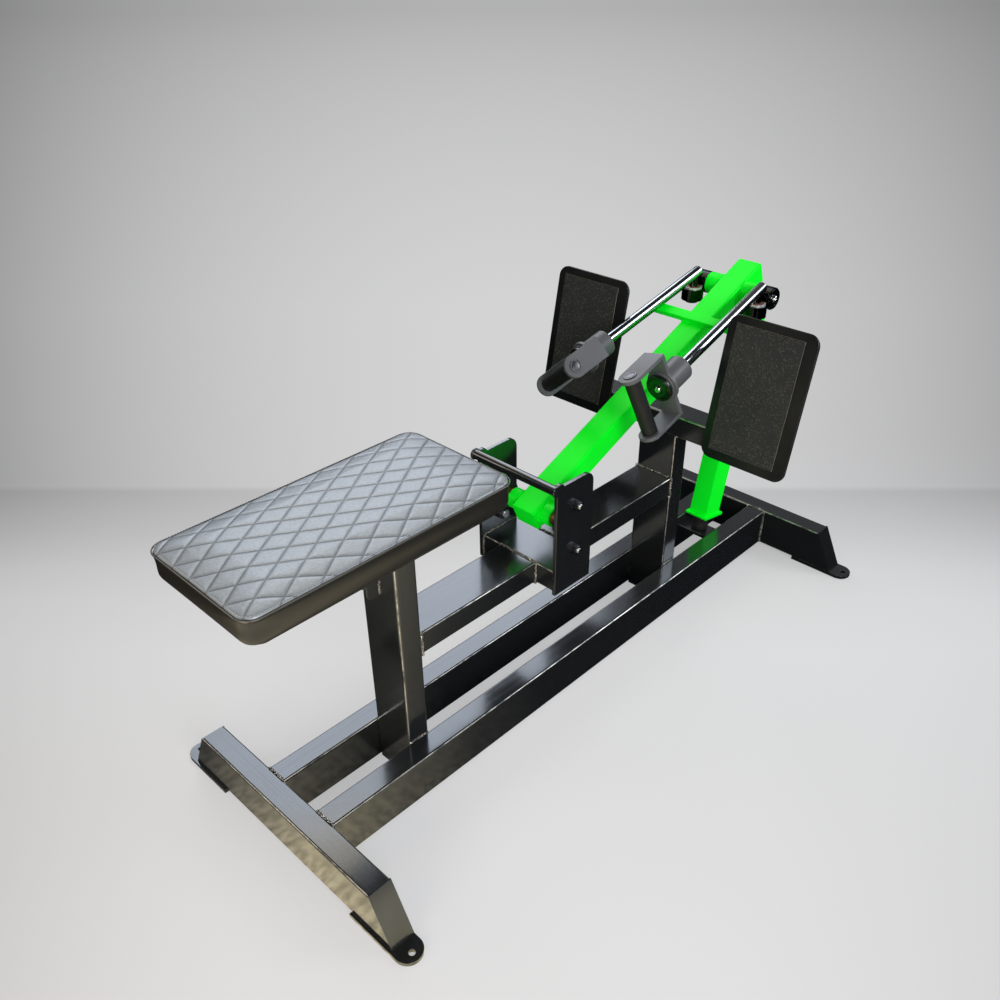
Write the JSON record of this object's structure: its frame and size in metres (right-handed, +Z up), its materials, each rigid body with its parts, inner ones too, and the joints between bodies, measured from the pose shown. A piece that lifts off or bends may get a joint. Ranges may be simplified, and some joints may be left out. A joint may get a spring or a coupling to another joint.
{
  "type": "plate-loaded row machine",
  "caption": "Seated row machine with a long quilted bench, two foot plates and a pivoting lever arm with a weight horn and two swivelling pull handles.",
  "frame": {"origin": "on the floor, on the mid-plane, halfway between the four floor bolt holes", "axes": "+X from the seat end to the weight end, +Y to the left of a user who faces the foot plates, +Z up"},
  "size_m": [1.7346, 0.7048, 0.7856],
  "materials": {
    "frame_steel": "satin black",
    "lever_green": "gloss neon green",
    "zinc": "zinc plated",
    "chrome": "polished",
    "bronze": "oiled bronze",
    "handle_steel": "satin grey",
    "grip": "matt",
    "rubber": "matt",
    "grip_sheet": "coarse speckled",
    "plate_black": "satin black",
    "upholstery": "quilted grey vinyl over foam",
    "board": "bare plywood",
    "horn_cap_plastic": "black"
  },
  "bodies": {
    "base": {"front_cross_member": "frame_steel", "rear_cross_member": "frame_steel", "cross_member_caps": "frame_steel", "floor_plates": "frame_steel", "left_rail": "frame_steel", "right_rail": "frame_steel", "seat_post": "frame_steel", "front_beam": "frame_steel", "rear_beam": "frame_steel", "cross_box": "frame_steel", "left_pivot_plate": "frame_steel", "right_pivot_plate": "frame_steel", "stop_rod": "frame_steel", "mid_post": "frame_steel", "foot_crossbar": "frame_steel", "foot_plate_ribs": "frame_steel", "left_foot_plate": "plate_black", "right_foot_plate": "plate_black", "left_grip_sheet": "grip_sheet", "right_grip_sheet": "grip_sheet", "bumper_bracket": "frame_steel", "rubber_bumper": "rubber", "bumper_screw": "zinc", "seat_gusset": "frame_steel", "seat_mount_plate": "frame_steel", "seat_board": "board", "seat_cushion": "upholstery", "seat_bolts": "zinc", "left_pivot_bearing": "plate_black", "right_pivot_bearing": "plate_black", "pivot_bolts": "zinc"},
    "lever": {"arm_tube": "lever_green", "arm_caps": "lever_green", "pivot_bosses": "lever_green", "handle_bosses": "lever_green", "stop_bar": "lever_green", "strut": "lever_green", "strut_foot": "lever_green", "weight_horn": "chrome", "horn_collar": "plate_black", "horn_cap": "horn_cap_plastic", "pivot_shaft": "chrome", "shaft_spacers": "bronze", "handle_axle": "chrome", "axle_caps": "plate_black", "axle_cap_bolts": "chrome"},
    "left_knuckle": {"left_knuckle": "plate_black", "left_pin_bush": "bronze"},
    "left_bar": {"left_handle_bar": "chrome", "left_end_disc": "plate_black"},
    "left_handle": {"left_stirrup": "handle_steel", "left_grip_rod": "chrome"},
    "left_grip": {"left_grip": "grip"},
    "right_knuckle": {"right_knuckle": "plate_black", "right_pin_bush": "bronze"},
    "right_bar": {"right_handle_bar": "chrome", "right_end_disc": "plate_black"},
    "right_handle": {"right_stirrup": "handle_steel", "right_grip_rod": "chrome"},
    "right_grip": {"right_grip": "grip"}
  },
  "joints": [
    {"name": "lever_lift", "type": "hinge", "parent": "base", "child": "lever", "pos_m": [-0.0883, 0, 0.448], "axis": [0, -1, 0], "range_deg": [0, 78]},
    {"name": "left_bar_lift", "type": "hinge", "parent": "lever", "child": "left_knuckle", "pos_m": [0.58643, 0.084, 0.73441], "axis": [0, 1, 0], "range_deg": [0, 120]},
    {"name": "left_bar_swing", "type": "hinge", "parent": "left_knuckle", "child": "left_bar", "pos_m": [0.54643, 0.084, 0.73441], "axis": [0, 0, -1], "range_deg": [-4.4, 4.1]},
    {"name": "left_handle_swivel", "type": "hinge", "parent": "left_bar", "child": "left_handle", "pos_m": [0.55673, 0.084, 0.76201], "axis": [0.9565, -0.0736, 0.2823], "continuous": true},
    {"name": "left_grip_roll", "type": "hinge", "parent": "left_handle", "child": "left_grip", "pos_m": [0.12057, 0.11756, 0.63326], "axis": [-0.2397, -0.7499, 0.6166], "continuous": true},
    {"name": "right_bar_lift", "type": "hinge", "parent": "lever", "child": "right_knuckle", "pos_m": [0.58643, -0.084, 0.73441], "axis": [0, 1, 0], "range_deg": [0, 120]},
    {"name": "right_bar_swing", "type": "hinge", "parent": "right_knuckle", "child": "right_bar", "pos_m": [0.54643, -0.084, 0.73441], "axis": [0, 0, 1], "range_deg": [-1.7, 6.8]},
    {"name": "right_handle_swivel", "type": "hinge", "parent": "right_bar", "child": "right_handle", "pos_m": [0.55673, -0.084, 0.76201], "axis": [0.9589, 0.0285, 0.2823], "continuous": true},
    {"name": "right_grip_roll", "type": "hinge", "parent": "right_handle", "child": "right_grip", "pos_m": [0.11947, -0.09698, 0.63326], "axis": [-0.281, 0.2337, 0.9308], "continuous": true}
  ]
}
